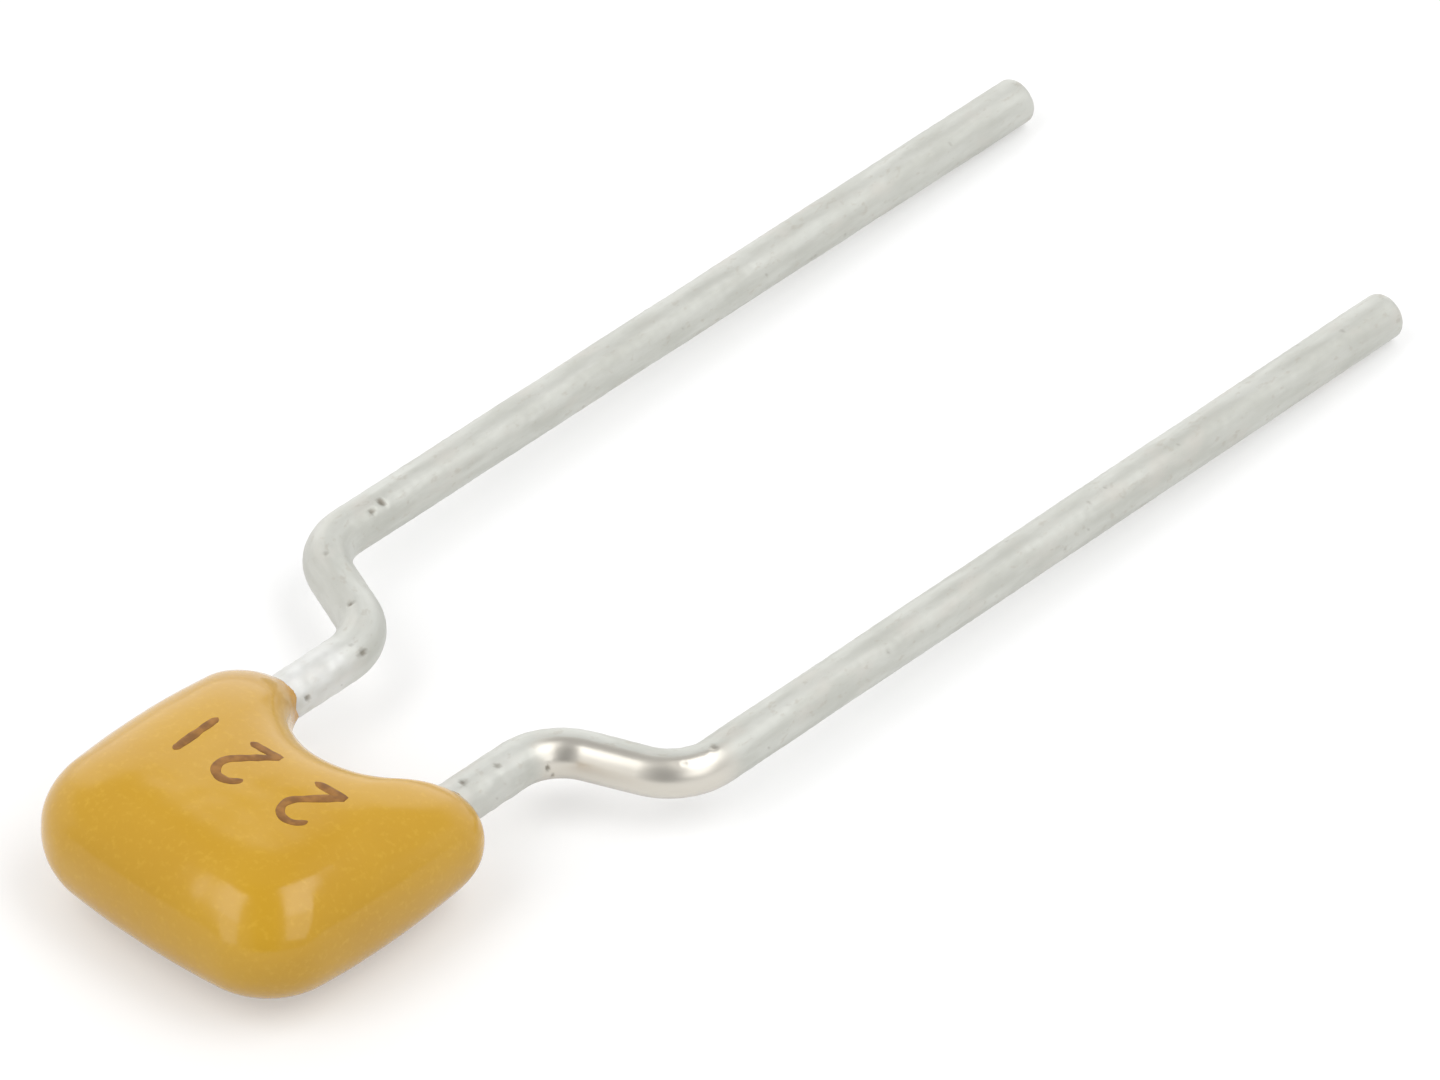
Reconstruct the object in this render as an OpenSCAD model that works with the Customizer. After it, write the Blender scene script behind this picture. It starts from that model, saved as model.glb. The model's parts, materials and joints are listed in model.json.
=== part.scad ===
// Radial multilayer ceramic capacitor: a ceramic chip soldered between two kinked wires
// and dipped in epoxy. It lies on its broad face with the lead tips on the table.
// X runs across the leads, Y from the closed end to the lead tips, and Z is up.

/* [Leads] */
// Diameter of the tinned wire
wire_d = 0.5; // [0.4:0.02:0.6]
// Spacing of the straight lead ends
lead_pitch = 5.08; // [4.6:0.02:7.5]
// Spacing of the leads where they leave the coat
exit_pitch = 2.34; // [2.1:0.02:2.7]
// Distance from the chip's middle to the lead tips
lead_reach = 14.35; // [8:0.05:30]
// Distance from the chip's middle to the first bend
kink_start = 2.82; // [2.3:0.02:5]
// Angle by which the kink swings out from the lead's run
kink_angle = 67; // [45:1:80]
// Radius of both bends at the wire's centre line
bend_r = 0.68; // [0.4:0.02:0.8]
// How much the wire's radius swells in a bend
bend_swell = 0.004; // [0.003:0.001:0.02]
// Rounding round the cut end of the wire
tip_round = 0.08; // [0.02:0.01:0.16]

/* [Chip] */
// Width of the chip along the leads
chip_w = 1.25; // [1:0.05:1.5]
// Thickness of the chip, end bands included
chip_t = 0.85; // [0.7:0.05:1.25]
// Number of internal electrodes
electrode_count = 12; // [2:1:20]
// Thickness of an electrode
electrode_t = 0.016; // [0.008:0.002:0.02]
// Plain ceramic above and below the stack of electrodes
cover_t = 0.12; // [0.05:0.01:0.18]
// Plain ceramic at the long sides of the electrodes
side_margin = 0.18; // [0.05:0.01:0.3]
// Plain ceramic at the free end of an electrode
end_margin = 0.24; // [0.05:0.01:0.4]

/* [Terminations and solder] */
// Thickness of an end cap over the chip's end
cap_t = 0.05; // [0.02:0.01:0.1]
// Thickness of an end cap's band round the chip
band_t = 0.03; // [0.01:0.005:0.06]
// Length of an end cap's band along the chip
band_l = 0.35; // [0.2:0.01:0.5]
// Solder between the end cap and the wire
solder_gap = 0.02; // [0.01:0.005:0.05]
// Radius of the hollow solder fillet
fillet_r = 0.15; // [0.1:0.01:0.2]
// How far the fillet's hollow bites into the wire's outline, so that it ends on an edge
fillet_bite = 0.02; // [0.01:0.005:0.03]
// Length of the solder joint along the wire
solder_len = 1; // [0.6:0.05:1.2]
// Length of wire past the solder joint, inside the closed end
wire_tail = 0.1; // [0.02:0.02:0.3]

/* [Coat] */
// Epoxy over each broad face of the chip
coat_over = 0.36; // [0.25:0.005:0.6]
// Epoxy outside each wire
coat_side = 0.44; // [0.35:0.01:0.6]
// Epoxy behind the chip, at the closed end
coat_back = 0.8; // [0.7:0.01:1.2]
// Epoxy before the chip, at the bottom of the notch
coat_notch = 0.675; // [0.6:0.005:0.9]
// How far the coat sits off the middle of the leads
coat_shift = 0.09; // [-0.15:0.01:0.15]
// Length of the lobes that run down the wires, past the notch
lobe_len = 0.64; // [0.5:0.01:0.9]
// Radius of a lobe's tip, seen from above
lobe_r = 0.49; // [0.4:0.01:0.54]
// How far a lobe's flank lies inside the widest line of the coat
lobe_gap = 0.05; // [0.04:0.01:0.12]
// Epoxy over and under the wire in a lobe
lobe_over = 0.53; // [0.3:0.01:0.55]
// Corner radius at the closed end, seen from above
corner_r = 0.86; // [0.6:0.02:1.1]
// Radius of the bowed closed end, seen from above
back_r = 12; // [6:1:30]
// How far the widest line of the coat lies before the chip's middle
widest_y = 0.42; // [-0.1:0.02:0.5]
// Width of the rounded-over edge, seen from above
roll_w = 0.91; // [0.7:0.01:0.95]
// Fullness of the rounded-over edge, where 2 is an ellipse and more is boxier
fullness = 2.3; // [2:0.1:3]
// How far the broad faces fall away from their middle to the coat's side
crown_sag = 0.05; // [0.03:0.005:0.08]

/* [Hidden] */
$fn = 64;
// Steps of the rounded-over edge, from the broad face to the widest line
roll_steps = 10;
// Steps of a broad face, from its middle to the rounded-over edge
face_steps = 3;
// Steps of the back, corner, side, lobe and notch arcs of half the coat's outline
arc_steps = [5, 9, 7, 12, 9];

// The leads
wire_r = wire_d / 2;
exit_x = exit_pitch / 2;
kink_rise = bend_r * sin(kink_angle);
kink_out = bend_r * (1 - cos(kink_angle));
kink_run = (lead_pitch / 2 - exit_x - 2 * kink_out) / sin(kink_angle);
kink_end = kink_start + 2 * kink_rise + kink_run * cos(kink_angle);
// Each straight run reaches this far into the fuller bend
bend_lap = 0.03;

// The chip, which fits between the leads and their solder
chip_l = exit_pitch - wire_d - 2 * solder_gap;
block_l = chip_l - 2 * cap_t;
block_w = chip_w - 2 * band_t;
block_t = chip_t - 2 * band_t;
electrode_l = block_l - end_margin;
electrode_w = block_w - 2 * side_margin;
layer_step = (block_t - 2 * cover_t - electrode_t) / (electrode_count - 1);

// The solder joints
solder_front = solder_len / 2;
wire_start = -solder_len / 2 - wire_tail;
face_x = -wire_r - solder_gap;
fillet_x = face_x + fillet_r;
fillet_z = sqrt(pow(wire_r + fillet_r - fillet_bite, 2) - pow(fillet_x, 2));

// The coat's outline seen from above, and its height
half_w = exit_x + wire_r + coat_side;
body_h = chip_t / 2 + coat_over;
lobe_h = wire_r + lobe_over;
back_y = -chip_w / 2 - coat_back;
notch_y = chip_w / 2 + coat_notch;
lobe_y = notch_y + lobe_len;
thin_y = chip_w / 2;
face_mid = [0, (back_y + notch_y) / 2];
// The same outline where the broad face begins: the lobes have nearly faded into its corners
face_lobe_len = 0.06;
face_lobe_r = 0.15;
face_corner_r = 0.3;

function mix(a, b, t) = a + (b - a) * t;

function ease(t) = t <= 0 ? 0 : t >= 1 ? 1 : t * t * (3 - 2 * t);

function bearing(from, to) = atan2(to.y - from.y, to.x - from.x);

function on_arc(mid, r, turn) = mid + r * [cos(turn), sin(turn)];

function arc(mid, r, from, to, steps) =
    [for (i = [0:steps - 1]) on_arc(mid, r, mix(from, to, i / steps))];

// Where two circles cross, on the side of the closed end's corner
function circles_meet(a, ra, b, rb) =
    let (gap = norm(b - a))
    let (along = (b - a) / gap)
    let (reach = (gap * gap + ra * ra - rb * rb) / (2 * gap))
    let (off = sqrt(ra * ra - reach * reach))
    a + reach * along + off * (along.y > 0 ? [along.y, -along.x] : [-along.y, along.x]);

// The right half of the outline, drawn in by an inset: five arcs, each tangent to the next
function half_outline(inset) =
    let (t = inset / roll_w)
    let (side_x = half_w - inset)
    let (hollow_y = notch_y - inset)
    let (side_y = mix(widest_y, face_mid.y, t))
    let (lobe_rise = mix(lobe_len, face_lobe_len, t))
    let (tip_r = mix(lobe_r, face_lobe_r, t))
    let (round_r = mix(corner_r, face_corner_r, t))
    let (tip_mid = [side_x - lobe_gap - tip_r, hollow_y + lobe_rise - tip_r])
    let (hollow_r = (pow(tip_mid.x, 2) + lobe_rise * (lobe_rise - 2 * tip_r)) / (2 * lobe_rise))
    let (hollow_mid = [0, hollow_y + hollow_r])
    let (tip_off = tip_mid - [side_x, side_y])
    let (side_r = (tip_off * tip_off - pow(tip_r, 2)) / (2 * lobe_gap))
    let (side_mid = [side_x - side_r, side_y])
    let (end_mid = [0, back_y + back_r])
    let (end_r = back_r - inset)
    let (round_mid = circles_meet(side_mid, side_r - round_r, end_mid, end_r - round_r))
    let (round_from = bearing(end_mid, round_mid))
    let (round_to = bearing(side_mid, round_mid))
    let (tip_from = bearing(side_mid, tip_mid))
    let (tip_to = bearing(tip_mid, hollow_mid))
    concat(
        arc(end_mid, end_r, -90, round_from, arc_steps[0]),
        arc(round_mid, round_r, round_from, round_to, arc_steps[1]),
        arc(side_mid, side_r, round_to, tip_from, arc_steps[2]),
        arc(tip_mid, tip_r, tip_from, tip_to, arc_steps[3]),
        arc(hollow_mid, hollow_r, tip_to - 180, -90, arc_steps[4]),
        [[0, hollow_y]]);

function outline(inset) =
    let (half = half_outline(inset))
    concat(half, [for (i = [len(half) - 2:-1:1]) [-half[i].x, half[i].y]]);

// The coat's height over the wire's plane before its edge is rounded over
function coat_h(p) =
    let (thinning = ease((p.y - thin_y) / (lobe_y - thin_y)))
    mix(body_h, lobe_h, thinning) - crown_sag * (p * p) / pow(half_w, 2);

// A ring of the rounded-over edge: slope is 0 at the broad face and 90 at the widest line
function roll_ring(slope) =
    let (inset = roll_w * (1 - pow(sin(slope), 2 / fullness)))
    let (lift = pow(cos(slope), 2 / fullness))
    [for (p = outline(inset)) [p.x + coat_shift, p.y, lift * coat_h(p)]];

// A ring of the broad face, a share of the way out from its middle
function face_ring(share) =
    [for (edge = outline(roll_w))
        let (p = mix(face_mid, edge, share))
        [p.x + coat_shift, p.y, coat_h(p)]];

upper_rings = concat(
    [for (k = [1:face_steps - 1]) face_ring(k / face_steps)],
    [for (k = [0:roll_steps - 1]) roll_ring(90 * k / roll_steps)]);
upper_count = len(upper_rings);
lower_rings = [for (k = [upper_count - 1:-1:0]) [for (p = upper_rings[k]) [p.x, p.y, -p.z]]];
rings = concat(upper_rings, [roll_ring(90)], lower_rings);
crown = [face_mid.x + coat_shift, face_mid.y, coat_h(face_mid)];
coat_points = concat([crown], [for (ring = rings) each ring], [[crown.x, crown.y, -crown.z]]);
coat_faces = let (n = len(rings[0]), last = 1 + (len(rings) - 1) * n) concat(
    [for (i = [0:n - 1]) [0, 1 + (i + 1) % n, 1 + i]],
    [for (k = [0:len(rings) - 2], i = [0:n - 1])
        let (a = 1 + k * n + i, b = 1 + k * n + (i + 1) % n)
        each [[a, b, b + n], [a, b + n, a + n]]],
    [for (i = [0:n - 1]) [last + n, last + i, last + (i + 1) % n]]);

// The rest on the table: the part tips about X until the belly and the lead tips touch
function tip_low(t) = -(lead_reach - tip_round) * sin(t) - (wire_r - tip_round) * cos(t) - tip_round;

function coat_low(t) = min([for (p = coat_points) p.z * cos(t) - p.y * sin(t)]);

function settle(low, high, steps) =
    let (mid = (low + high) / 2)
    steps == 0 ? mid
    : coat_low(mid) < tip_low(mid) ? settle(mid, high, steps - 1)
    : settle(low, mid, steps - 1);

// Steepest tilt that is tried, and the number of halvings
steepest_tilt = 20;
settle_steps = 30;
rest_tilt = settle(0, steepest_tilt, settle_steps);
rest_z = -tip_low(rest_tilt);
coat_end = min([for (p = coat_points) p.y * cos(rest_tilt) + p.z * sin(rest_tilt)]);
tip_end = (lead_reach - tip_round) * cos(rest_tilt) + (wire_r - tip_round) * sin(rest_tilt) + tip_round;
rest_y = -(coat_end + tip_end) / 2;

epoxy_colour = "goldenrod";
tin_colour = "gainsboro";
ceramic_colour = "tan";
electrode_colour = "dimgray";
cap_colour = "silver";
solder_colour = "darkgray";

function electrode_name(i) = str("electrode_", i < 10 ? "0" : "", i);

module at_rest() {
    translate([0, rest_y, rest_z]) rotate([-rest_tilt, 0, 0]) children();
}

module left_side() {
    mirror([1, 0, 0]) children();
}

// A straight run of wire along Y
module wire(length) {
    rotate([-90, 0, 0]) cylinder(h = length, r = wire_r);
}

// A bend of the wire about a point, from a start angle
module bend(mid, start) {
    translate([mid.x, mid.y, 0]) rotate([0, 0, start]) rotate_extrude(angle = kink_angle)
        translate([bend_r, 0]) circle(wire_r + bend_swell);
}

// The straight end of the wire, with the edge of its blunt cut rounded over
module wire_end(length) {
    rotate([-90, 0, 0]) rotate_extrude() {
        square([wire_r, length - tip_round]);
        square([wire_r - tip_round, length]);
        translate([wire_r - tip_round, length - tip_round]) circle(tip_round);
    }
}

// The straight stretch of the wire that the chip and the coat hold
module lead_root() {
    translate([exit_x, wire_start, 0]) wire(kink_start + bend_lap - wire_start);
}

module lead() {
    lead_root();
    bend([exit_x + bend_r, kink_start], 180 - kink_angle);
    translate([exit_x + kink_out, kink_start + kink_rise, 0]) rotate([0, 0, -kink_angle])
        translate([0, -bend_lap, 0]) wire(kink_run + 2 * bend_lap);
    bend([lead_pitch / 2 - bend_r, kink_end], -kink_angle);
    translate([lead_pitch / 2, kink_end - bend_lap, 0]) wire_end(lead_reach - kink_end + bend_lap);
}

// The solder between an end cap's face and the wire, with a hollow fillet above and below
module solder_joint() {
    translate([exit_x, solder_front, 0]) rotate([90, 0, 0]) linear_extrude(solder_len)
        difference() {
            polygon([
                [face_x, -fillet_z], [fillet_x, -fillet_z], [0, 0],
                [fillet_x, fillet_z], [face_x, fillet_z]]);
            translate([fillet_x, fillet_z]) circle(fillet_r);
            translate([fillet_x, -fillet_z]) circle(fillet_r);
            circle(wire_r);
        }
}

module block() {
    cube([block_l, block_w, block_t], center = true);
}

// The outside of an end cap, over the right end of the chip
module cap_outside() {
    translate([chip_l / 2 - band_l, -chip_w / 2, -chip_t / 2]) cube([band_l, chip_w, chip_t]);
}

module termination() {
    difference() {
        cap_outside();
        block();
    }
}

// Odd electrodes reach the left end of the block, and even ones the right end
module electrode_sheet(i) {
    z = (i - (electrode_count + 1) / 2) * layer_step;
    x = (i % 2 == 1 ? -1 : 1) * end_margin / 2;
    translate([x, 0, z]) cube([electrode_l, electrode_w, electrode_t], center = true);
}

module epoxy_coat() {
    color(epoxy_colour) at_rest() difference() {
        polyhedron(coat_points, coat_faces);
        block();
        cap_outside();
        left_side() cap_outside();
        solder_joint();
        left_side() solder_joint();
        lead_root();
        left_side() lead_root();
    }
}

module lead_left() {
    color(tin_colour) at_rest() left_side() lead();
}

module lead_right() {
    color(tin_colour) at_rest() lead();
}

module dielectric_block() {
    color(ceramic_colour) at_rest() difference() {
        block();
        for (i = [1:electrode_count]) electrode_sheet(i);
    }
}

module termination_left() {
    color(cap_colour) at_rest() left_side() termination();
}

module termination_right() {
    color(cap_colour) at_rest() termination();
}

module solder_left() {
    color(solder_colour) at_rest() left_side() solder_joint();
}

module solder_right() {
    color(solder_colour) at_rest() solder_joint();
}

module electrode(i) {
    color(electrode_colour) at_rest() electrode_sheet(i);
}

epoxy_coat();
lead_left();
lead_right();
dielectric_block();
termination_left();
termination_right();
solder_left();
solder_right();
for (i = [1:electrode_count]) electrode(i);
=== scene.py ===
"""Looks of the dipped radial capacitor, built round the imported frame.

Shapes are worked out in millimetres in the part's own axes: X across the leads, Y from the closed end
to the tips with 0 at the chip's middle, Z up from the wires' plane. place() lays them on the table.
"""
import json
import math

import bpy
import numpy as np
from mathutils import Matrix, Vector, noise
from mathutils.bvhtree import BVHTree


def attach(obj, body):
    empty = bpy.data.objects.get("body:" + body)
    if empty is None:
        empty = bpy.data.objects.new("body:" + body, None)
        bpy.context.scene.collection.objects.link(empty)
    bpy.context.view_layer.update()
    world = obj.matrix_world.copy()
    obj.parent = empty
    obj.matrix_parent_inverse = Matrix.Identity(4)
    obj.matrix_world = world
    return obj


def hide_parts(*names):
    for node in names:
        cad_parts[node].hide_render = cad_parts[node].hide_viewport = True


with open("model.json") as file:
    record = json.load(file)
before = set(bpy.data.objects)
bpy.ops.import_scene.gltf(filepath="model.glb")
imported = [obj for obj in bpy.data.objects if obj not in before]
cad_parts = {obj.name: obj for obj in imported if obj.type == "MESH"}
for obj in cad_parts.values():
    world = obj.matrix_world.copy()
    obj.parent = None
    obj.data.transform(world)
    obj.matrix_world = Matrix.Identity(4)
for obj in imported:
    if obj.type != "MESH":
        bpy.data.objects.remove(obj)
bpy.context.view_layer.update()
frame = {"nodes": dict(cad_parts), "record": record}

# One millimetre in metres
MM = 0.001

# Sizes of the wires, in millimetres, as in the part's source
WIRE_R = 0.25
LEAD_X = 2.54  # from the middle to a straight lead
EXIT_X = 1.17  # from the middle to a wire where it leaves the coat
LEAD_REACH = 14.35
WIRE_START = -0.6
KINK_START = 2.82
KINK_ANGLE = math.radians(67)
BEND_R = 0.68
TIP_ROUND = 0.08

# Sizes of the coat, in millimetres, as in the part's source
HALF_W = 1.86
BODY_H = 0.785  # half the thickness over the chip
LOBE_H = 0.78  # half the thickness at the lobes
BACK_Y = -1.425
NOTCH_Y = 1.3
THIN_Y = 0.625  # where it starts to thin towards the lobes
COAT_SHIFT = 0.09  # off the middle of the leads
LOBE_LEN = 0.64
LOBE_R = 0.49
LOBE_GAP = 0.05  # how far the lobes stay inside the widest line
CORNER_R = 0.86
BACK_R = 12.0
WIDEST_Y = 0.42
ROLL_W = 0.91  # width of the rounded-over edge
FULLNESS = 2.3  # 2 would make the edge a quarter of an ellipse
CROWN_SAG = 0.05
FACE_LOBE_LEN = 0.06
FACE_LOBE_R = 0.15
FACE_CORNER_R = 0.3
LOBE_Y = NOTCH_Y + LOBE_LEN
FACE_MID = np.array([0.0, (BACK_Y + NOTCH_Y) / 2])

# The rest on the table, read from the right lead's mount: its axis points to the wire's tip
tip_mount = next(m for m in frame["record"]["mounts"] if m["name"] == "lead_right_end")
mount_y = LEAD_REACH - TIP_ROUND - tip_mount["dims"]["length_mm"] / 2
REST_AXIS = np.array(tip_mount["axis"])
REST_UP = np.cross([1, 0, 0], REST_AXIS)
REST_ORIGIN = np.array(tip_mount["pos_m"]) - MM * mount_y * REST_AXIS - [MM * LEAD_X, 0, 0]

# How far apart a seed and the next lie in the noise, along each axis
NOISE_SHIFT = (17.3, -9.1, 5.7)


def place(points):
    """Points of the part, in millimetres, laid on the table in metres."""
    x, y, z = np.asarray(points, float).T
    return REST_ORIGIN + MM * (np.outer(x, [1, 0, 0]) + np.outer(y, REST_AXIS) + np.outer(z, REST_UP))


def mix(a, b, t):
    """A value a share of the way from one to another."""
    return a + (b - a) * t


def ease(t):
    """A smooth step from 0 to 1, held beyond them."""
    t = np.clip(t, 0, 1)
    return t * t * (3 - 2 * t)


def noise_at(points, size, seed):
    """Smooth noise from about -1 to 1 at each point, with features of the given size."""
    shift = Vector([step * seed for step in NOISE_SHIFT])
    return np.array([noise.noise(Vector(p) / size + shift) for p in points])


def make_piece(name, points, faces, material):
    """A smooth mesh from points in millimetres, riding on the part."""
    mesh = bpy.data.meshes.new(name)
    mesh.from_pydata(place(points).tolist(), [], faces)
    mesh.shade_smooth()
    mesh.materials.append(material)
    piece = bpy.data.objects.new(name, mesh)
    bpy.context.scene.collection.objects.link(piece)
    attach(piece, "root")
    return piece


def mark_points(piece, name, values):
    """A number or a vector at each point of a mesh, which its material reads by name."""
    values = np.asarray(values, np.float32)
    kind, field = ("FLOAT", "value") if values.ndim == 1 else ("FLOAT_VECTOR", "vector")
    attribute = piece.data.attributes.new(name, kind, "POINT")
    attribute.data.foreach_set(field, values.ravel())


def tube_faces(rings, count, first=0):
    """Quads between closed rings of points and a fan over each end, to two points after the rings."""
    start = first + rings * count
    end = start + 1
    last = start - count
    faces = []
    for i in range(count):
        j = (i + 1) % count
        for row in range(first, last, count):
            faces.append((row + i, row + j, row + count + j, row + count + i))
        faces.append((start, first + j, first + i))
        faces.append((end, last + i, last + j))
    return faces


# Shader helpers: those that add a value or a colour to a node tree give back its output
def new_material(name):
    """A new material, its node tree and its shader."""
    material = bpy.data.materials.new(name)
    material.use_nodes = True
    tree = material.node_tree
    return material, tree, tree.nodes["Principled BSDF"]


def add_spot(tree):
    """The place on the piece, in metres."""
    return tree.nodes.new("ShaderNodeTexCoord").outputs["Object"]


def add_mark(tree, name, output="Fac"):
    """What mark_points left on the mesh under this name."""
    node = tree.nodes.new("ShaderNodeAttribute")
    node.attribute_name = name
    return node.outputs[output]


def add_noise(tree, coordinates, scale, detail, stretch=(1, 1, 1)):
    """A noise texture over the coordinates given, scaled along each axis."""
    mapping = tree.nodes.new("ShaderNodeMapping")
    mapping.inputs["Scale"].default_value = stretch
    tree.links.new(coordinates, mapping.inputs["Vector"])
    texture = tree.nodes.new("ShaderNodeTexNoise")
    texture.inputs["Scale"].default_value = scale
    texture.inputs["Detail"].default_value = detail
    tree.links.new(mapping.outputs["Vector"], texture.inputs["Vector"])
    return texture.outputs["Fac"]


def add_range(tree, value, span, result=(0, 1)):
    """A value carried smoothly across a span from the first result to the second, and held beyond it."""
    node = tree.nodes.new("ShaderNodeMapRange")
    node.interpolation_type = "SMOOTHSTEP"
    tree.links.new(value, node.inputs["Value"])
    for socket, number in zip(("From Min", "From Max", "To Min", "To Max"), (*span, *result)):
        node.inputs[socket].default_value = number
    return node.outputs["Result"]


def add_mix(tree, factor, low, high):
    """A colour between two, each of them a colour or another node's output."""
    node = tree.nodes.new("ShaderNodeMixRGB")
    tree.links.new(factor, node.inputs["Fac"])
    for socket, colour in ((node.inputs["Color1"], low), (node.inputs["Color2"], high)):
        if isinstance(colour, tuple):
            socket.default_value = (*colour, 1)
        else:
            tree.links.new(colour, socket)
    return node.outputs["Color"]


def add_math(tree, operation, a, b):
    """An operation on one output and a number or another output."""
    node = tree.nodes.new("ShaderNodeMath")
    node.operation = operation
    tree.links.new(a, node.inputs[0])
    if isinstance(b, (int, float)):
        node.inputs[1].default_value = b
    else:
        tree.links.new(b, node.inputs[1])
    return node.outputs[0]


def add_bump(tree, height, strength, distance, shader):
    """A bump of the shader's normal, with its distance in metres."""
    bump = tree.nodes.new("ShaderNodeBump")
    bump.inputs["Strength"].default_value = strength
    bump.inputs["Distance"].default_value = distance
    tree.links.new(height, bump.inputs["Height"])
    tree.links.new(bump.outputs["Normal"], shader.inputs["Normal"])


# Materials. Colours are in linear light. Noise features are counted per metre, but per wire radius on the
# tin. A span is the stretch of the noise over which a look comes in.
NOISE_SPAN = (0.25, 0.75)

EPOXY_DEEP = (0.518, 0.281, 0.011)
EPOXY_PALE = (0.556, 0.312, 0.015)
EPOXY_SPECK = (0.70, 0.43, 0.045)
# Painted shade where the coat meets the wires
EPOXY_AMBER_SHADE = (0.46, 0.20, 0.010)
EPOXY_CLOUDS = 700
EPOXY_GRAINS = 16000
EPOXY_SPECK_SPAN = (0.5, 0.8)
EPOXY_SPECK_SHARE = 0.3
EPOXY_ROUGHNESS = (0.12, 0.17)
EPOXY_BUMP, EPOXY_BUMP_DEPTH = 0.06, 2e-6

TIN_DEEP = (0.572, 0.576, 0.533)
TIN_PALE = (0.648, 0.653, 0.613)
TIN_BLOTCH = (0.655, 0.635, 0.59)
TIN_SPECK = (0.50, 0.47, 0.41)
TIN_POLISHED = (0.65, 0.62, 0.556)
# Partly a whiter tinning by the coat, partly painted light that lifts the shade the coat casts there
TIN_PALE_AND_LIT_BY_COAT = (0.93, 0.93, 0.94)
# Painted shade in the pits
TIN_PIT_SHADE = (0.28, 0.26, 0.22)
TIN_EDGE_TINT = (0.92, 0.92, 0.95, 1)
TIN_RUNS, TIN_RUN_STRETCH, TIN_RUN_SPAN = 1.8, (1, 1, 0.2), (0.3, 0.7)
TIN_BLOTCHES, TIN_BLOTCH_STRETCH, TIN_BLOTCH_SPAN = 0.9, (1, 1, 0.5), (0.5, 0.75)
TIN_SPECKS, TIN_SPECK_STRETCH, TIN_SPECK_SPAN = 3.5, (1, 1, 0.6), (0.58, 0.74)
TIN_GRAINS = 7
TIN_BLOTCH_SHARE = 0.6
TIN_SPECK_SHARE = 0.4
TIN_ROUGHNESS = (0.55, 0.63)
TIN_SMOOTHED = -0.27  # what full polish adds to the roughness
TIN_BUMP, TIN_BUMP_DEPTH = 0.2, 3e-6

INK_THICK = (0.21, 0.093, 0.024)
INK_THIN = (0.35, 0.162, 0.038)
INK_CLOTS = 7000
INK_SPAN = (0.35, 0.7)
INK_ROUGHNESS = 0.5
INK_SPECULAR = 0.2

MOTTLE_SPAN = (0.35, 0.65)
MOTTLE_BUMP, MOTTLE_BUMP_DEPTH = 0.2, 2e-6


def epoxy_material():
    """Dipped epoxy: a glossy ochre with faint clouds and grain, and painted shade, a darker amber, where
    it meets the wires.
    """
    material, tree, shader = new_material("epoxy")
    spot = add_spot(tree)
    clouds = add_noise(tree, spot, EPOXY_CLOUDS, detail=2)
    grain = add_noise(tree, spot, EPOXY_GRAINS, detail=3)
    tint = add_mix(tree, add_range(tree, clouds, NOISE_SPAN), EPOXY_DEEP, EPOXY_PALE)
    specks = add_range(tree, grain, EPOXY_SPECK_SPAN, (0, EPOXY_SPECK_SHARE))
    speckled = add_mix(tree, specks, tint, EPOXY_SPECK)
    # Painted shade in darker amber where the coat meets the wires
    amber = add_mix(tree, add_mark(tree, "collar_shade"), speckled, EPOXY_AMBER_SHADE)
    tree.links.new(amber, shader.inputs["Base Color"])
    tree.links.new(add_range(tree, clouds, NOISE_SPAN, EPOXY_ROUGHNESS), shader.inputs["Roughness"])
    add_bump(tree, grain, EPOXY_BUMP, EPOXY_BUMP_DEPTH, shader)
    return material


def tin_tint(tree, lay, blotches, polish):
    """The tin's colour: runs along the wire, then blotches, specks, polish, the pale root, which is partly
    painted light, and the painted shade of the pits.
    """
    runs = add_noise(tree, lay, TIN_RUNS, detail=4, stretch=TIN_RUN_STRETCH)
    specks = add_noise(tree, lay, TIN_SPECKS, detail=3, stretch=TIN_SPECK_STRETCH)
    tint = add_mix(tree, add_range(tree, runs, TIN_RUN_SPAN), TIN_DEEP, TIN_PALE)
    cloudy = add_range(tree, blotches, TIN_BLOTCH_SPAN, (0, TIN_BLOTCH_SHARE))
    tint = add_mix(tree, cloudy, tint, TIN_BLOTCH)
    speckled = add_range(tree, specks, TIN_SPECK_SPAN, (0, TIN_SPECK_SHARE))
    tint = add_mix(tree, speckled, tint, TIN_SPECK)
    tint = add_mix(tree, polish, tint, TIN_POLISHED)
    # Paler by the coat: partly a whiter tinning, partly painted light against the coat's shade
    tint = add_mix(tree, add_mark(tree, "pale"), tint, TIN_PALE_AND_LIT_BY_COAT)
    # Painted shade in the pits
    return add_mix(tree, add_mark(tree, "pit"), tint, TIN_PIT_SHADE)


def tin_material():
    """Hot-tinned wire: dull pale metal, smoother and without grain where it is polished."""
    material, tree, shader = new_material("tin")
    lay = add_mark(tree, "lay", "Vector")
    polish = add_mark(tree, "polish")
    blotches = add_noise(tree, lay, TIN_BLOTCHES, detail=3, stretch=TIN_BLOTCH_STRETCH)
    grain = add_noise(tree, lay, TIN_GRAINS, detail=2)
    tree.links.new(tin_tint(tree, lay, blotches, polish), shader.inputs["Base Color"])
    shader.inputs["Metallic"].default_value = 1
    shader.inputs["Specular Tint"].default_value = TIN_EDGE_TINT
    dull = add_range(tree, blotches, NOISE_SPAN, TIN_ROUGHNESS)
    smoothed = add_math(tree, "MULTIPLY", polish, TIN_SMOOTHED)
    tree.links.new(add_math(tree, "ADD", dull, smoothed), shader.inputs["Roughness"])
    rough = add_math(tree, "MULTIPLY", grain, add_range(tree, polish, (0, 1), (1, 0)))
    add_bump(tree, rough, TIN_BUMP, TIN_BUMP_DEPTH, shader)
    return material


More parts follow.
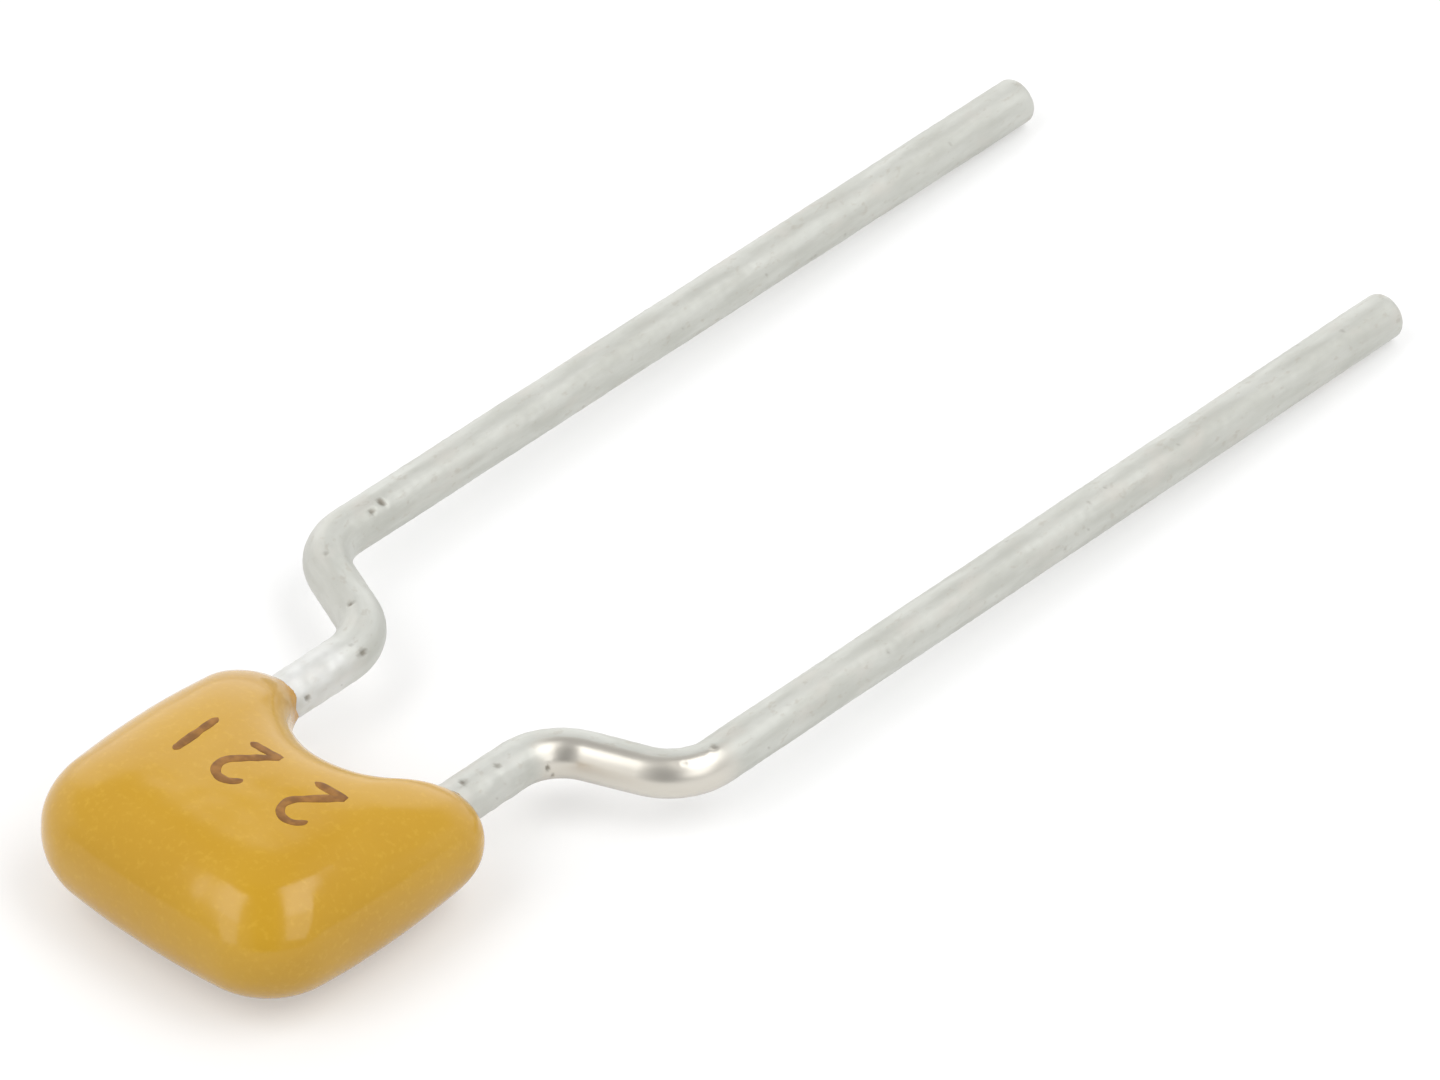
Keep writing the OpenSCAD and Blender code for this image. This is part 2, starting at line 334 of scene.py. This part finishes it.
def ink_material():
    """Brown marking ink, thin and uneven."""
    material, tree, shader = new_material("ink")
    clots = add_noise(tree, add_spot(tree), INK_CLOTS, detail=3)
    tint = add_mix(tree, add_range(tree, clots, INK_SPAN), INK_THICK, INK_THIN)
    tree.links.new(tint, shader.inputs["Base Color"])
    shader.inputs["Roughness"].default_value = INK_ROUGHNESS
    shader.inputs["Specular IOR Level"].default_value = INK_SPECULAR
    return material


def inner_material(name, dark, light, mottles, metallic, roughness):
    """A fired or metal surface inside the coat, with a mottled tint."""
    material, tree, shader = new_material(name)
    mottle = add_noise(tree, add_spot(tree), mottles, detail=4)
    tint = add_mix(tree, add_range(tree, mottle, MOTTLE_SPAN), dark, light)
    tree.links.new(tint, shader.inputs["Base Color"])
    shader.inputs["Metallic"].default_value = metallic
    shader.inputs["Roughness"].default_value = roughness
    add_bump(tree, mottle, MOTTLE_BUMP, MOTTLE_BUMP_DEPTH, shader)
    return material


# The coat, drawn as in the part's source but finer, with the dip's slight unevenness
BACK_STEPS = 18
CORNER_STEPS = 32
SIDE_STEPS = 26
LOBE_STEPS = 56
NOTCH_STEPS = 40
ROLL_STEPS = 40
FACE_STEPS = 10
CORE_SHARE = 0.5  # unevenness points away from a flat core with this share of the coat's outline
WAVE, WAVE_SIZE, WAVE_SEED = 0.008, 0.9, 1
RIPPLE, RIPPLE_SIZE, RIPPLE_SEED = 0.0025, 0.22, 2

# Collars where the epoxy climbs the wires, by side: 1 is the right lead's
COLLAR_FROM, COLLAR_OVER = 1.0, 0.3
COLLAR_CLIMB, COLLAR_WIDE = {-1: 0.09, 1: 0.06}, 0.07
COLLAR_RAGGED, COLLAR_RAG_SIZE, COLLAR_SEED = 0.7, 0.16, 4
# Painted shade round the wires: how far out it reaches and how strong it gets
AMBER_SHADE_WIDE, AMBER_SHADE_SHARE = 0.1, 0.6


def arc(mid, r, start, end, steps):
    """Points of an arc from its start up to, but without, its end."""
    turn = start + (end - start) * np.arange(steps) / steps
    return np.column_stack([mid[0] + r * np.cos(turn), mid[1] + r * np.sin(turn)])


def bearing(start, end):
    """The angle of the way from one point to another."""
    return math.atan2(end[1] - start[1], end[0] - start[0])


def circles_meet(a, a_r, b, b_r):
    """Where two circles cross, on the right of the way from the first to the second."""
    gap = math.dist(a, b)
    way = (b - a) / gap
    reach = (gap * gap + a_r * a_r - b_r * b_r) / (2 * gap)
    return a + reach * way + math.sqrt(a_r * a_r - reach * reach) * np.array([way[1], -way[0]])


def coat_outline(inset):
    """The coat's outline from above, drawn in by an inset: five arcs a side, each tangent to the next."""
    share = inset / ROLL_W
    side_x = HALF_W - inset
    hollow_y = NOTCH_Y - inset
    side_y = mix(WIDEST_Y, FACE_MID[1], share)
    lobe_rise = mix(LOBE_LEN, FACE_LOBE_LEN, share)
    tip_r = mix(LOBE_R, FACE_LOBE_R, share)
    round_r = mix(CORNER_R, FACE_CORNER_R, share)
    tip_mid = np.array([side_x - LOBE_GAP - tip_r, hollow_y + lobe_rise - tip_r])
    hollow_r = (tip_mid[0] ** 2 + lobe_rise * (lobe_rise - 2 * tip_r)) / (2 * lobe_rise)
    hollow_mid = np.array([0, hollow_y + hollow_r])
    tip_off = tip_mid - [side_x, side_y]
    side_r = (tip_off @ tip_off - tip_r ** 2) / (2 * LOBE_GAP)
    side_mid = np.array([side_x - side_r, side_y])
    end_mid = np.array([0, BACK_Y + BACK_R])
    end_r = BACK_R - inset
    round_mid = circles_meet(side_mid, side_r - round_r, end_mid, end_r - round_r)
    round_from = bearing(end_mid, round_mid)
    round_to = bearing(side_mid, round_mid)
    tip_from = bearing(side_mid, tip_mid)
    tip_to = bearing(tip_mid, hollow_mid)
    half = np.vstack([
        arc(end_mid, end_r, -math.pi / 2, round_from, BACK_STEPS),
        arc(round_mid, round_r, round_from, round_to, CORNER_STEPS),
        arc(side_mid, side_r, round_to, tip_from, SIDE_STEPS),
        arc(tip_mid, tip_r, tip_from, tip_to, LOBE_STEPS),
        arc(hollow_mid, hollow_r, tip_to - math.pi, -math.pi / 2, NOTCH_STEPS),
        [[0, hollow_y]]])
    return np.vstack([half, half[-2:0:-1] * [-1, 1]])


def coat_height(points):
    """The coat's height over the wires' plane before its edge is rounded over."""
    thinning = ease((points[:, 1] - THIN_Y) / (LOBE_Y - THIN_Y))
    return mix(BODY_H, LOBE_H, thinning) - CROWN_SAG * (points * points).sum(1) / HALF_W ** 2


def roll_ring(slope):
    """A ring of the rounded edge: slope is 0 at the broad face and a right angle at the widest line."""
    outline = coat_outline(ROLL_W * (1 - math.sin(slope) ** (2 / FULLNESS)))
    lift = max(math.cos(slope), 0) ** (2 / FULLNESS)
    return np.column_stack([outline[:, 0] + COAT_SHIFT, outline[:, 1], lift * coat_height(outline)])


def face_ring(share):
    """A ring of the broad face, a share of the way out from its middle."""
    outline = mix(FACE_MID, coat_outline(ROLL_W), share)
    return np.column_stack([outline[:, 0] + COAT_SHIFT, outline[:, 1], coat_height(outline)])


def coat_form():
    """Points and faces of the smooth coat, ring after ring from its lower face's middle to its upper."""
    slopes = np.linspace(0, math.pi / 2, ROLL_STEPS + 1)[:-1]
    upper = [face_ring(k / FACE_STEPS) for k in range(1, FACE_STEPS)] + [roll_ring(s) for s in slopes]
    rings = [ring * [1, 1, -1] for ring in upper] + [roll_ring(math.pi / 2)] + upper[::-1]
    crown = np.array([[COAT_SHIFT, FACE_MID[1], coat_height(FACE_MID[None])[0]]])
    return np.vstack([*rings, crown * [1, 1, -1], crown]), tube_faces(len(rings), len(rings[0]))


def uneven_dip(points):
    """The smooth coat's points moved in and out by slow waves and fine ripples."""
    core = np.column_stack([CORE_SHARE * points[:, :2], np.zeros(len(points))])
    outward = points - core
    outward /= np.linalg.norm(outward, axis=1)[:, None]
    waves = WAVE * noise_at(points, WAVE_SIZE, WAVE_SEED)
    ripples = RIPPLE * noise_at(points, RIPPLE_SIZE, RIPPLE_SEED)
    return points + (waves + ripples)[:, None] * outward


def climb_wires(points):
    """The coat's points drawn up the wires in ragged collars, and how much painted shade in darker amber
    the epoxy gets at each.
    """
    points = points.copy()
    amber = np.zeros(len(points))
    for side, climb in COLLAR_CLIMB.items():
        gap = np.maximum(np.hypot(points[:, 0] - side * EXIT_X, points[:, 2]) - WIRE_R, 0)
        front = ease((points[:, 1] - COLLAR_FROM) / COLLAR_OVER)
        ragged = 1 + COLLAR_RAGGED * noise_at(points, COLLAR_RAG_SIZE, COLLAR_SEED + side)
        points[:, 1] += climb * front * ragged * np.exp(-gap / COLLAR_WIDE)
        # Painted shade, strongest at the wire
        amber = np.maximum(amber, AMBER_SHADE_SHARE * front * np.exp(-gap / AMBER_SHADE_WIDE))
    return points, amber


def coat_piece(material):
    """The coat, in place of its CAD solid. Its surface comes back, for the mark to lie on."""
    points, faces = coat_form()
    points, amber = climb_wires(uneven_dip(points))
    piece = make_piece("coat", points, faces, material)
    mark_points(piece, "collar_shade", amber)
    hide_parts("epoxy_coat")
    return BVHTree.FromPolygons(points.tolist(), faces)


# The leads: round wire swept along the kinked line, with the tinning's unevenness. Sizes of noise are in
# wire radii, and a place along a wire is its distance from the chip's middle.
WIRE_SIDES = 64
WIRE_STEP = 0.025
CAP_STEPS = 6
LEAD_SEED = 20
SWELL, SWELL_SIZE = 0.0045, 0.9
SWELL_STRETCH = [1, 1, 0.3]
GRAIN, GRAIN_SIZE, GRAIN_SEED = 0.003, 0.3, 5
ROOT_ROUGH, ROOT_SIZE, ROOT_SEED = 0.006, 0.4, 9
ROOT_FROM, ROOT_TO = 2.5, 3.0

# The paler root by the coat, partly a whiter tinning and partly painted light that lifts the shade the
# coat casts on it, and the polished kink, which is dull from its top to its inner side: places along the
# wire, then the angle in degrees where the polish ends and over which it fades
PALE_ROOT_AND_LIFT = {"lead_left": 0.5, "lead_right": 0.1}
PALE_EVEN, PALE_UNEVEN, PALE_SIZE, PALE_SEED = 0.7, 0.5, 0.8, 3
POLISH = {"lead_left": 0.15, "lead_right": 1.0}
POLISH_FROM, POLISH_TO, POLISH_FADE = 2.85, 5.2, 0.4
POLISH_TOP, POLISH_EDGE = 85, 9

# Larger pits: place along the wire, angle in degrees from its outer side over its top, radius and depth
PITS = {
    "lead_left": [(5.38, 116, 0.042, 0.016), (5.22, 122, 0.035, 0.014), (3.49, 66, 0.034, 0.014),
                  (2.89, 142, 0.036, 0.014), (2.07, 160, 0.034, 0.014), (4.31, 80, 0.026, 0.008)],
    "lead_right": [(3.13, 8, 0.036, 0.016), (3.22, 340, 0.03, 0.012), (2.07, 86, 0.036, 0.014),
                   (2.51, 72, 0.03, 0.01), (4.91, 80, 0.03, 0.012)],
}
SMALL_PITS = 22
SMALL_PIT_FROM = 2.1
SMALL_PIT_R = (0.012, 0.022)
SMALL_PIT_DEPTH = 0.006
# Painted shade in the pits: from this depth a pit is painted as dark as pits get
FULL_PIT_SHADE_DEPTH = 0.016  # depth from which a pit is as dark as pits get

# The form of a pit: lengths in its own radii, the rim's height as a share of its depth
PIT_REACH = 4
PIT_RAGGED, PIT_RAG_SIZE = 0.6, 1.3
PIT_RIM, PIT_RIM_AT, PIT_RIM_W = 0.35, 1.7, 0.6


def lead_line():
    """The right lead's centre line, evenly spaced: distance along it, points and the angle it runs at."""
    out = BEND_R * (1 - math.cos(KINK_ANGLE))
    run = (LEAD_X - EXIT_X - 2 * out) / math.sin(KINK_ANGLE)
    kink_y = 2 * BEND_R * math.sin(KINK_ANGLE) + run * math.cos(KINK_ANGLE)
    bend = BEND_R * KINK_ANGLE
    straight = LEAD_REACH - TIP_ROUND - KINK_START - kink_y
    ends = np.cumsum([0, KINK_START - WIRE_START, bend, run, bend, straight])
    along = np.linspace(0, ends[-1], round(ends[-1] / WIRE_STEP))
    turn = np.interp(along, ends, [0, 0, KINK_ANGLE, KINK_ANGLE, 0, 0])
    middle = (turn[1:] + turn[:-1]) / 2
    steps = np.diff(along)[:, None] * np.column_stack([np.sin(middle), np.cos(middle)])
    line = [EXIT_X, WIRE_START] + np.vstack([[0, 0], np.cumsum(steps, axis=0)])
    return along + WIRE_START, line, turn


def lead_rings():
    """The lead's rings: distance along, centre, angle and radius, shrinking round the cut end's edge."""
    along, line, turn = lead_line()
    cap = np.linspace(0, math.pi / 2, CAP_STEPS + 1)[1:]
    along = np.concatenate([along, along[-1] + TIP_ROUND * np.sin(cap)])
    line = np.vstack([line, line[-1] + np.outer(TIP_ROUND * np.sin(cap), [0, 1])])
    turn = np.concatenate([turn, np.zeros(CAP_STEPS)])
    radius = np.full(len(along), WIRE_R)
    radius[-CAP_STEPS:] -= TIP_ROUND * (1 - np.cos(cap))
    return along, line, turn, radius


def half_turn(angle):
    """Angles brought between minus and plus half a turn."""
    return np.angle(np.exp(1j * angle))


def polish_share(name, along, angle):
    """How polished the wire is at each point."""
    lengthwise = ease((along - POLISH_FROM) / POLISH_FADE) * ease((POLISH_TO - along) / POLISH_FADE)
    below_top = ease((POLISH_TOP - np.degrees(half_turn(angle))) / POLISH_EDGE)
    return lengthwise * (POLISH[name] * below_top)


def small_pits(seed):
    """Small pits scattered over the wire outside the coat."""
    rng = np.random.default_rng(seed)
    return [(rng.uniform(SMALL_PIT_FROM, LEAD_REACH), rng.uniform(0, 360), rng.uniform(*SMALL_PIT_R),
             SMALL_PIT_DEPTH) for _ in range(SMALL_PITS)]


def dent_pits(along, angle, pits, seed):
    """How far the pits lower the wire at each point, and how dark the shade painted into them is."""
    lowered = np.zeros(len(along))
    dark = np.zeros(len(along))
    for number, (spot, degrees, size, depth) in enumerate(pits):
        reach = PIT_REACH * size
        turn = half_turn(angle - math.radians(degrees))
        near = (np.abs(along - spot) < reach) & (np.abs(turn) * WIRE_R < reach)
        where = np.column_stack([along[near] - spot, WIRE_R * turn[near], np.full(near.sum(), number)])
        ragged = 1 + PIT_RAGGED * noise_at(where, PIT_RAG_SIZE * size, seed)
        gap = np.hypot(where[:, 0], where[:, 1]) / size * ragged
        rim = PIT_RIM * np.exp(-((gap - PIT_RIM_AT) / PIT_RIM_W) ** 2)
        lowered[near] += depth * (np.exp(-gap ** 2) - rim)
        # Painted shade, darkest in the middle of the deeper pits
        dark[near] = np.maximum(dark[near], np.exp(-gap ** 4) * min(1, depth / FULL_PIT_SHADE_DEPTH))
    return lowered, dark


def lead_piece(name, side, material):
    """A lead, in place of its CAD solid: side is 1 for the right one and -1 for the left."""
    along, line, turn, radius = lead_rings()
    rings = len(along)
    ends = [(side * x, y, 0) for x, y in (line[0], line[-1])]
    angle = np.tile(2 * np.pi * np.arange(WIRE_SIDES) / WIRE_SIDES, rings)
    along, turn, radius = (np.repeat(values, WIRE_SIDES) for values in (along, turn, radius))
    centre = np.repeat(line, WIRE_SIDES, axis=0)

    # The tinning is laid out round and along the wire, in wire radii
    seed = LEAD_SEED + side
    lay = np.column_stack([np.cos(angle), np.sin(angle), along / WIRE_R])
    root = 1 - ease((along - ROOT_FROM) / (ROOT_TO - ROOT_FROM))
    # Partly a whiter tinning, partly painted light that lifts the coat's shade on the root
    pale = PALE_ROOT_AND_LIFT[name] * root * (PALE_EVEN + PALE_UNEVEN * noise_at(lay, PALE_SIZE, seed + PALE_SEED))
    polish = polish_share(name, along, angle)
    swell = SWELL * noise_at(lay * SWELL_STRETCH, SWELL_SIZE, seed)
    swell += GRAIN * (1 - polish) * noise_at(lay, GRAIN_SIZE, seed + GRAIN_SEED)
    swell += ROOT_ROUGH * root * noise_at(lay, ROOT_SIZE, seed + ROOT_SEED)
    lowered, dark = dent_pits(along, angle, PITS[name] + small_pits(seed), seed)
    radius = radius + swell - lowered

    outward = np.column_stack([np.cos(turn), -np.sin(turn)])
    flat = centre + (radius * np.cos(angle))[:, None] * outward
    points = np.column_stack([side * flat[:, 0], flat[:, 1], radius * np.sin(angle)])
    faces = tube_faces(rings, WIRE_SIDES)
    if side > 0:
        faces = [face[::-1] for face in faces]
    piece = make_piece(name + "_wire", np.vstack([points, ends]), faces, material)
    # The middles of the two ends come last, and these marks are nought there
    for mark, values in (("pit", dark), ("pale", pale), ("polish", polish)):
        mark_points(piece, mark, np.append(values, [0, 0]))
    mark_points(piece, "lay", np.vstack([lay, lay[:1], lay[-1:]]))
    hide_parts(name)


# The mark: a plain number on the upper face, read from the leads' end
MARK = "221"
MARK_X = (0.78, -0.10, -0.76)
MARK_Y = 0.31
MARK_W = 0.42
MARK_H = 0.66
STROKE_W = 0.1
STROKE_STEP = 0.012
STROKE_WOBBLE, STROKE_WOBBLE_SIZE, STROKE_SEED = 0.3, 0.12, 31
STROKE_BLUNT = 0.02  # keeps the rounded ends of a stroke from closing to a point
INK_RISE = 0.005
INK_SINK = 0.006
INK_SIDES = 6
ABOVE_COAT = 2.0

# Pen lines in a box one unit wide and one high: a 1, and a 2 with its round bow, foot and end
ONE_LINE = ((0.46, 1.0), (0.54, 0.0))
TWO_BOW_MID, TWO_BOW_R = (0.5, 0.72), (0.42, 0.27)
TWO_BOW_FROM, TWO_BOW_TO, TWO_BOW_STEPS = 165, -38, 24
TWO_FOOT, TWO_END = (0.08, 0.03), (0.95, 0.06)


def digit_line(digit):
    """The pen line of a 1 or a 2."""
    if digit == "1":
        return np.array(ONE_LINE)
    bow = np.radians(np.linspace(TWO_BOW_FROM, TWO_BOW_TO, TWO_BOW_STEPS))
    bow_line = np.array(TWO_BOW_MID) + np.column_stack([np.cos(bow), np.sin(bow)]) * TWO_BOW_R
    return np.vstack([bow_line, TWO_FOOT, TWO_END])


def stroke_form(line, seed, ground):
    """A closed bead of ink along a pen line, lying on the coat with its underside sunk a little."""
    run = np.concatenate([[0], np.cumsum(np.hypot(*np.diff(line, axis=0).T))])
    along = np.linspace(0, run[-1], round(run[-1] / STROKE_STEP))
    line = np.column_stack([np.interp(along, run, line[:, 0]), np.interp(along, run, line[:, 1])])
    way = np.gradient(line, axis=0)
    way /= np.linalg.norm(way, axis=1)[:, None]
    across = np.column_stack([-way[:, 1], way[:, 0]])
    where = np.column_stack([line, np.full(len(line), seed)])
    wobble = noise_at(where, STROKE_WOBBLE_SIZE, STROKE_SEED)
    to_end = np.minimum(along, run[-1] - along) / (STROKE_W / 2)
    half = STROKE_W / 2 * (1 + STROKE_WOBBLE * wobble) * np.sqrt(np.clip(to_end, STROKE_BLUNT, 1))
    turn = np.linspace(0, 2 * np.pi, 2 * INK_SIDES, endpoint=False)
    lift = np.where(np.sin(turn) >= 0, INK_RISE, INK_SINK) * np.sin(turn)
    flat = line[:, None] + (half[:, None] * np.cos(turn))[..., None] * across[:, None]
    flat = np.vstack([flat.reshape(-1, 2), line[:1], line[-1:]])
    lift = np.append(np.tile(lift, len(line)), [0, 0])
    down = Vector((0, 0, -1))
    height = [ground.ray_cast(Vector((x, y, ABOVE_COAT)), down)[0].z for x, y in flat]
    return np.column_stack([flat, height + lift]), len(line)


def mark_piece(material, ground):
    """The whole number as one piece on the coat."""
    points, faces = [], []
    for index, digit in enumerate(MARK):
        # The number reads along -X, with its top towards -Y
        pen = (digit_line(digit) - 0.5) * [-MARK_W, -MARK_H] + [MARK_X[index], MARK_Y]
        stroke, rings = stroke_form(pen, index, ground)
        faces += tube_faces(rings, 2 * INK_SIDES, len(points))
        points += stroke.tolist()
    make_piece("value_mark", points, faces, material)


coat_ground = coat_piece(epoxy_material())
mark_piece(ink_material(), coat_ground)
tin = tin_material()
for lead, lead_side in (("lead_left", -1), ("lead_right", 1)):
    lead_piece(lead, lead_side, tin)

# What the coat hides keeps its CAD form. Each look has a dark and a light tint, its mottles per metre,
# 1 for a metal, and its roughness.
INSIDE = {
    "dielectric": inner_material("ceramic", (0.38, 0.30, 0.22), (0.46, 0.38, 0.29), 6000, 0, 0.6),
    "electrode": inner_material("electrode", (0.14, 0.14, 0.14), (0.22, 0.22, 0.21), 9000, 1, 0.45),
    "termination": inner_material("termination", (0.45, 0.45, 0.44), (0.56, 0.56, 0.55), 7000, 1, 0.4),
    "solder": inner_material("solder", (0.32, 0.33, 0.34), (0.44, 0.45, 0.45), 5000, 1, 0.35),
}
for node_name, node in frame["nodes"].items():
    kind = node_name.split("_")[0]
    if kind in INSIDE:
        node.data.materials.clear()
        node.data.materials.append(INSIDE[kind])

# Camera: where the photograph was taken from, fitted to the lead tips, the kinks and the coat's outline.
# The pixel is where a point on the part's middle line falls, at AIM_Y and in the wires' plane.
PHOTO_W, PHOTO_H = 1440, 1080
CAMERA_AZIMUTH = 43.003
CAMERA_ELEVATION = 40.701
CAMERA_MM = 168.7  # from the aim, along the view
PIXELS_PER_MM = 101.812  # at the aim
AIM_PIXEL = (260.613, 822.187)
AIM_Y = 0.45
SENSOR_W = 36.0
CLIP_START = 0.002


def direction(azimuth, elevation):
    """The unit vector towards a viewer there; azimuth 0 is on the closed end's side."""
    a, e = math.radians(azimuth), math.radians(elevation)
    return Vector((math.sin(a) * math.cos(e), -math.cos(a) * math.cos(e), math.sin(e)))


def facing(back):
    """The turn of a camera or lamp that looks along -back with its top upwards."""
    right = Vector((0, 0, 1)).cross(back).normalized()
    return Matrix((right, back.cross(right), back)).transposed()


view = facing(direction(CAMERA_AZIMUTH, CAMERA_ELEVATION))
aim = Vector(place([[0, AIM_Y, 0]])[0])
off_aim = Vector((PHOTO_W / 2 - AIM_PIXEL[0], AIM_PIXEL[1] - PHOTO_H / 2, 0)) / PIXELS_PER_MM
off_aim.z = CAMERA_MM
camera_data = bpy.data.cameras.new("camera")
camera_data.sensor_width = SENSOR_W
camera_data.lens = SENSOR_W * PIXELS_PER_MM * CAMERA_MM / PHOTO_W
camera_data.clip_start = CLIP_START
camera = bpy.data.objects.new("camera", camera_data)
camera.matrix_world = Matrix.Translation(aim + MM * (view @ off_aim)) @ view.to_4x4()
bpy.context.scene.collection.objects.link(camera)
bpy.context.scene.camera = camera

# Floor: a pale sheet that looks white but keeps the part's shadow
FLOOR_HALF = 0.6  # metres
FLOOR_ALBEDO = 0.66
FLOOR_LIFT = 0.32


def floor_material():
    """A matt sheet with a little light of its own."""
    material = bpy.data.materials.new("floor")
    material.use_nodes = True
    tree = material.node_tree
    tree.nodes.clear()
    sheet = tree.nodes.new("ShaderNodeBsdfDiffuse")
    sheet.inputs["Color"].default_value = (FLOOR_ALBEDO, FLOOR_ALBEDO, FLOOR_ALBEDO, 1)
    # The lift is only for what is seen, not for what lights the part
    path = tree.nodes.new("ShaderNodeLightPath")
    seen = add_math(tree, "MAXIMUM", path.outputs["Is Camera Ray"], path.outputs["Is Glossy Ray"])
    seen = add_math(tree, "MAXIMUM", seen, path.outputs["Is Transmission Ray"])
    glow = tree.nodes.new("ShaderNodeEmission")
    tree.links.new(add_math(tree, "MULTIPLY", seen, FLOOR_LIFT), glow.inputs["Strength"])
    both = tree.nodes.new("ShaderNodeAddShader")
    tree.links.new(sheet.outputs[0], both.inputs[0])
    tree.links.new(glow.outputs[0], both.inputs[1])
    output = tree.nodes.new("ShaderNodeOutputMaterial")
    tree.links.new(both.outputs[0], output.inputs["Surface"])
    return material


floor_mesh = bpy.data.meshes.new("floor")
corners = [(x * FLOOR_HALF, y * FLOOR_HALF, 0) for x, y in ((-1, -1), (1, -1), (1, 1), (-1, 1))]
floor_mesh.from_pydata(corners, [], [(0, 1, 2, 3)])
floor_mesh.materials.append(floor_material())
floor = bpy.data.objects.new("floor", floor_mesh)
bpy.context.scene.collection.objects.link(floor)

# World: a tent of light, paler low down behind the part, with a bright wall there and a dim strip between
# the softboxes, which is dimmest on the camera's side. Levels are radiances. Each pair says where a change
# starts and ends, as how far a direction points up, to the camera, to the wall or to the camera's right.
TENT = 0.72
BACK = 1.08
BACK_FROM = (0.15, -0.1)
BACK_TOP = (0.32, 0.52)
WALL = 1.65
WALL_WAY = direction(-133, 20)
WALL_SIDES = (0.74, 0.9)
WALL_TOP = (0.59, 0.67)
STRIP_SIDES = (0.08, 0.36)
OVERHEAD = 0.54
OVERHEAD_FROM = (0.66, 0.76)
NEAR = 0.4
NEAR_WAY = direction(CAMERA_AZIMUTH, 0)
NEAR_FROM = (-0.35, -0.1)


def add_dot(tree, way, axis):
    """How far a direction points along an axis."""
    node = tree.nodes.new("ShaderNodeVectorMath")
    node.operation = "DOT_PRODUCT"
    node.inputs[1].default_value = axis
    tree.links.new(way, node.inputs[0])
    return node.outputs["Value"]


def tent_level(tree):
    """The tent's radiance in each direction."""
    way = tree.nodes.new("ShaderNodeTexCoord").outputs["Generated"]
    height = add_dot(tree, way, (0, 0, 1))
    ahead = add_dot(tree, way, NEAR_WAY)
    back = add_range(tree, ahead, BACK_FROM, (0, BACK - TENT))
    back = add_math(tree, "MULTIPLY", back, add_range(tree, height, BACK_TOP, (1, 0)))
    wall = add_range(tree, add_dot(tree, way, WALL_WAY), WALL_SIDES, (0, WALL - TENT))
    wall = add_math(tree, "MULTIPLY", wall, add_range(tree, height, WALL_TOP, (1, 0)))
    pale = add_math(tree, "MAXIMUM", back, wall)
    # Squared, so that the strip is the same on both sides
    aside = add_dot(tree, way, view.col[0])
    aside = add_math(tree, "MULTIPLY", aside, aside)
    strip = add_range(tree, aside, [limit ** 2 for limit in STRIP_SIDES], (1, 0))
    overhead = add_range(tree, height, OVERHEAD_FROM, (0, OVERHEAD - TENT))
    near = add_range(tree, ahead, NEAR_FROM, (0, NEAR - TENT))
    dim = add_math(tree, "MULTIPLY", strip, add_math(tree, "MINIMUM", overhead, near))
    return add_math(tree, "ADD", add_math(tree, "ADD", pale, dim), TENT)


def tent_world():
    """A white world at the tent's level."""
    world = bpy.data.worlds.new("tent")
    world.use_nodes = True
    tree = world.node_tree
    tree.nodes.clear()
    tent = tree.nodes.new("ShaderNodeBackground")
    tent.inputs["Color"].default_value = (1, 1, 1, 1)
    tree.links.new(tent_level(tree), tent.inputs["Strength"])
    output = tree.nodes.new("ShaderNodeOutputWorld")
    tree.links.new(tent.outputs[0], output.inputs["Surface"])
    return world


bpy.context.scene.world = tent_world()

# Softboxes: a tall one on each side of the camera, leaning away from it and brighter in its upper half.
# Each has its angle aside of the camera, its elevation and its lean in degrees, its width and height in
# metres, and the radiance of its upper and lower half.
BOX_FROM = 0.25  # metres from the part
BOXES = {
    "softbox_left": (-57, 38, 19, 0.12, 0.4, (2.2, 1.3)),
    "softbox_right": (57.5, 48, -34, 0.124, 0.385, (2.5, 1.3)),
}


def softbox(name, aside, elevation, lean, width, height, radiances):
    """Two lamps, one above the other, that face the coat and look as bright as their radiance."""
    way = direction(CAMERA_AZIMUTH + aside, elevation)
    turn = facing(way).to_4x4() @ Matrix.Rotation(math.radians(lean), 4, "Z")
    middle = Matrix.Translation(Vector(REST_ORIGIN) + BOX_FROM * way) @ turn
    for half, rise, radiance in zip(("upper", "lower"), (height / 4, -height / 4), radiances):
        data = bpy.data.lights.new(f"{name}_{half}", "AREA")
        data.shape = "RECTANGLE"
        data.size = width
        data.size_y = height / 2
        data.energy = radiance * math.pi * width * height / 2
        lamp = bpy.data.objects.new(data.name, data)
        lamp.matrix_world = middle @ Matrix.Translation((0, rise, 0))
        bpy.context.scene.collection.objects.link(lamp)


for box_name, box in BOXES.items():
    softbox(box_name, *box)

bpy.context.scene.view_settings.view_transform = "Standard"
